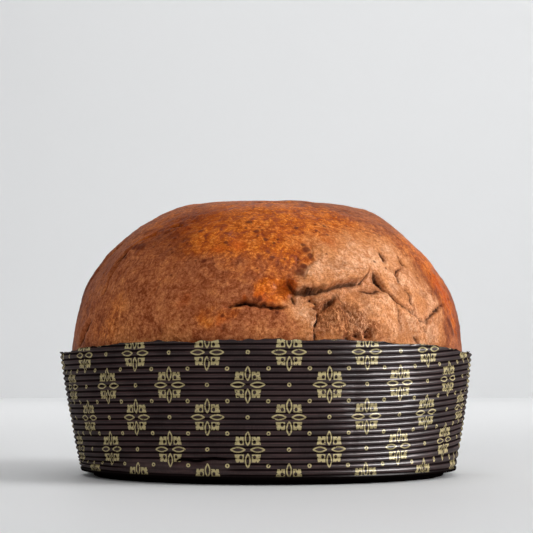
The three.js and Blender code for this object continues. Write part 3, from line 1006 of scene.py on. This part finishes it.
def crust_material():
    """Browned skin, glossy orange glaze and matte torn crumb, with flecks and blisters, and painted shade in
    the cracks, holes, pits and creases and at the dome's edges.
    """
    shader = Shader("baked crust")
    place = shader.place()
    gap = shader.attribute("gap")
    shade = shader.attribute("shade")
    crags = shader.attribute("crags")
    cloud = shader.noise(place, size=15.0, detail=5.0, roughness=0.6)
    patch = shader.noise(place, size=4.6, detail=5.0, roughness=0.62, distortion=0.8)
    grain = shader.noise(place, size=1.5, detail=4.0, roughness=0.7)
    speck = shader.noise(place, size=0.7, detail=2.0, roughness=0.6)
    leaning = shader.stretched(place, (1.0, 1.0, 0.45), (0, 0.5, 0))
    fibre = shader.noise(leaning, size=1.6, detail=4.0, roughness=0.7, distortion=1.2)
    pores = shader.cells(place, size=2.3)

    ragged_edge = (patch - 0.5) * 1.5 + (grain - 0.5) * 0.5
    tear = shader.attribute("torn") + ragged_edge + (cloud - 0.5) * 0.7
    torn = shader.step(tear, 0.35, 1.25)
    stretched = shader.step(tear, -0.05, 0.75)
    shine = shader.attribute("glazed") + (cloud - 0.5) * 1.4 + ragged_edge * 0.6
    glazed = shader.step(shine, 0.15, 1.05) * (1 - torn)
    reddened = shader.step(shader.attribute("reddened") + ragged_edge * 0.5, 0.2, 0.9)
    browned_and_shaded = shader.step(shader.attribute("browned_and_shaded") + ragged_edge * 0.8, 0.1, 1.0) * (1 - torn * 0.7)
    blisters = shader.step(shader.attribute("blistered") + (grain - 0.5) * 0.3, 0.3, 0.75)
    flecks = shader.step(grain * 0.6 + speck * 0.4, 0.36, 0.64)
    pits = shader.step(pores, 0.20, 0.08) * shader.step(patch, 0.50, 0.60)
    # Painted shade inside the cracks and holes and along the feet of the ledges
    line_shade = shader.step(gap + (grain - 0.5) * 0.6, 1.05, 0.45) * shade

    colour = browned_skin(shader, cloud, patch, grain)
    colour = shader.mix(glazed * 0.9, colour, egg_glaze(shader, patch, grain))
    colour = shader.mix(stretched * 0.8, colour, STRETCHED)
    colour = shader.mix(reddened * 0.8, colour, EMBER)
    colour = shader.mix(torn, colour, torn_crumb(shader, cloud, patch, fibre, crags))
    colour = shader.mix(1.0, colour, shader.mix(flecks, FLECK_DARK, FLECK_LIGHT), "MULTIPLY")
    # Darker browning, and painted shade on the left and at the edges of the dome
    colour = shader.mix(browned_and_shaded * 0.85, colour, BROWNING_AND_SHADE, "MULTIPLY")
    # Painted shade in the pits of the pores
    colour = shader.mix(pits * 0.6, colour, BROWN_DARK)
    colour = shader.mix(blisters * 0.8, colour, BLISTER_RED)
    # Painted shade in a band around the cracks, holes and feet of the ledges
    colour = shader.mix(shader.step(gap, 3.2, 0.8) * shade * 0.6, colour, BROWN_DARK)
    colour = shader.mix(line_shade, colour, CRACK_SHADE)

    roughness = shader.step(patch, 0.3, 0.7, 0.42, 0.56) + torn * 0.22 - glazed * 0.08
    wet = shader.step(patch + cloud * 0.8, 0.62, 0.86, 0.25, 0.02)
    coat = glazed * wet * (1 - line_shade) * (1 - browned_and_shaded * 0.8)
    height = grain * (0.45 + torn * 0.25) + speck * 0.2 + patch * 0.8 + fibre * (torn * 0.8 + 0.1)
    normal = shader.bump(height - pits - line_shade * 1.5, strength=0.85, distance=0.55)
    shader.finish(Specular_IOR_Level=0.04, Coat_IOR=2.0, Coat_Roughness=0.16)
    return shader.finish(Base_Color=colour, Roughness=roughness, Coat_Weight=coat, Normal=normal)


# Loaf

def dome_rows():
    """The dome's profile from neck to top: close rows up its side, wider ones towards the pole."""
    up = 1 - (1 - np.linspace(0, 1, CURVE_SAMPLES)) ** 3
    height = lerp(NECK_HEIGHT, TOP_HEIGHT, up)
    radius = dome_radius(height)
    along = np.concatenate([[0], np.cumsum(np.hypot(np.diff(radius), np.diff(height)))])
    reach = 0.0
    rows = []
    while True:
        reach += SIDE_STEP + (CROWN_STEP - SIDE_STEP) * float(smoothstep(*CROWN_REACH, reach))
        if reach > along[-1] - CROWN_STEP:
            break
        rows.append((float(np.interp(reach, along, radius)), float(np.interp(reach, along, height))))
    return rows + [(0.0, TOP_HEIGHT)]


def loaf_profile():
    """The loaf's outline: plain and in the case's shape up to where it rises free, then the dome."""
    in_wall = EDGE_RADIUS - WALL_THICKNESS - FIT_GAP
    profile = [(0, LOAF_FLOOR), (FOOT_RADIUS * 0.6, LOAF_FLOOR)]
    profile += quarter(FOOT_RADIUS, EDGE_RADIUS, in_wall, EDGE_RADIUS - LOAF_FLOOR, 2)
    for height in HELD_HEIGHTS:
        profile.append((wall_radius(height) - WALL_THICKNESS - FIT_GAP, height))
    for height in FREE_HEIGHTS:
        profile.append((NECK_RADIUS, height))
    return profile + dome_rows()


def loaf():
    bm = spun(loaf_profile(), LOAF_WEDGES, LOAF_COLUMNS)
    turn, radius, height = polar(corners_of(bm))
    first, second = FRONT_CROWDING
    azimuth = turn - first * np.sin(turn) + second * np.sin(2 * turn)
    relief, fields = crust_relief(azimuth, height)
    out = relief * smoothstep(RELIEF_START, RELIEF_FULL, height)
    free = smoothstep(RELEASE_HEIGHT, NECK_HEIGHT, height)
    offset = lerp(case_offset(np.minimum(height, RELEASE_HEIGHT)), LOAF_OFFSET, free)
    fuller = np.where(height > RELEASE_HEIGHT, 1 + NECK_FULLNESS / NECK_RADIUS * np.cos(azimuth) ** 2, 1)
    radial, upward = dome_normal(radius, height)
    move_corners(bm, around(azimuth, radius * fuller + out * radial, height + out * upward, offset))
    piece = finished(bm, "domed_crust", crust_material())
    for name, values in fields.items():
        keep(piece, name, values)
    return piece


# Stage, light and camera, in metres

def floor_and_wall():
    """A pale floor that ends at a pale wall behind the part."""
    near, far, half, tall = -8.0, 1.75, 8.0, 3.0
    bm = bmesh.new()
    front = [bm.verts.new((side * half, near, 0)) for side in (-1, 1)]
    edge = bm.edges.new(front)
    for move in ((0, far - near, 0), (0, 0, tall)):
        grown = bmesh.ops.extrude_edge_only(bm, edges=[edge])["geom"]
        new_verts = [item for item in grown if isinstance(item, bmesh.types.BMVert)]
        bmesh.ops.translate(bm, vec=move, verts=new_verts)
        edge = next(item for item in grown if isinstance(item, bmesh.types.BMEdge)
                    and all(v in new_verts for v in item.verts))
    bmesh.ops.recalc_face_normals(bm, faces=bm.faces)
    mesh = bpy.data.meshes.new("floor")
    bm.to_mesh(mesh)
    bm.free()
    shader = Shader("pale floor")
    shader.finish(Base_Color=(0.84, 0.845, 0.85, 1), Roughness=0.55, Specular_IOR_Level=0.12)
    mesh.materials.append(shader.material)
    stage = bpy.data.objects.new("floor", mesh)
    bpy.context.collection.objects.link(stage)


def soft_light(name, place, target, size, power, spread=180, diffuse=True, glossy=True):
    """A panel of light of so many watts, spread over an angle, for diffuse light, for gloss or for both."""
    data = bpy.data.lights.new(name, "AREA")
    data.shape = "RECTANGLE"
    data.size, data.size_y = size
    data.energy = power
    data.spread = math.radians(spread)
    light = bpy.data.objects.new(name, data)
    light.location = place
    light.rotation_euler = (Vector(target) - Vector(place)).to_track_quat("-Z", "Y").to_euler()
    light.visible_camera = False
    light.visible_diffuse = diffuse
    light.visible_glossy = glossy
    bpy.context.collection.objects.link(light)


def lights():
    """A window at the right with its sheen, a soft ceiling and room, and light on the wall behind."""
    soft_light("window", (2.27, -0.6, 0.9), (0, 0, 0.09), (1.6, 1.2), 8.5, spread=60)
    soft_light("window sheen", (2.27, -0.6, 0.75), (0, 0, 0.09), (1.9, 1.5), 36, spread=60, diffuse=False)
    soft_light("ceiling", (0.1, -0.1, 1.9), (0, 0, 0.1), (2.4, 2.0), 12.5)
    soft_light("room", (-0.7, -2.3, 0.8), (0, 0, 0.08), (2.2, 1.4), 21, glossy=False)
    soft_light("rear", (-0.5, 1.55, 0.95), (0, 0, 0.08), (1.0, 0.5), 4, glossy=False)
    soft_light("wall wash", (0.9, 0.8, 1.2), (0.25, 1.75, 0.2), (1.2, 0.6), 4.2, spread=110, glossy=False)
    world = bpy.data.worlds.new("studio")
    world.use_nodes = True
    background = world.node_tree.nodes["Background"]
    background.inputs["Color"].default_value = (0.95, 0.97, 1.0, 1)
    background.inputs["Strength"].default_value = 0.10
    bpy.context.scene.world = world
    bpy.context.scene.view_settings.view_transform = "Standard"


def camera():
    data = bpy.data.cameras.new("camera")
    data.sensor_width = SENSOR
    data.lens = FOCAL / PICTURE * SENSOR
    data.clip_end = 20
    item = bpy.data.objects.new("camera", data)
    side = (PICTURE / 2 - RIM_CENTRE_X) / FOCAL * CAMERA_DISTANCE
    pitch = math.atan((HORIZON_Y - PICTURE / 2) / FOCAL)
    item.location = (side, -CAMERA_DISTANCE, CAMERA_HEIGHT)
    item.rotation_euler = (math.pi / 2 + pitch, 0, 0)
    bpy.context.collection.objects.link(item)
    bpy.context.scene.camera = item


camera()
floor_and_wall()
lights()

crust = loaf()
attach(crust, "root")
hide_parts("loaf")

case = paper_case()
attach(case, "root")
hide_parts("paper_case")
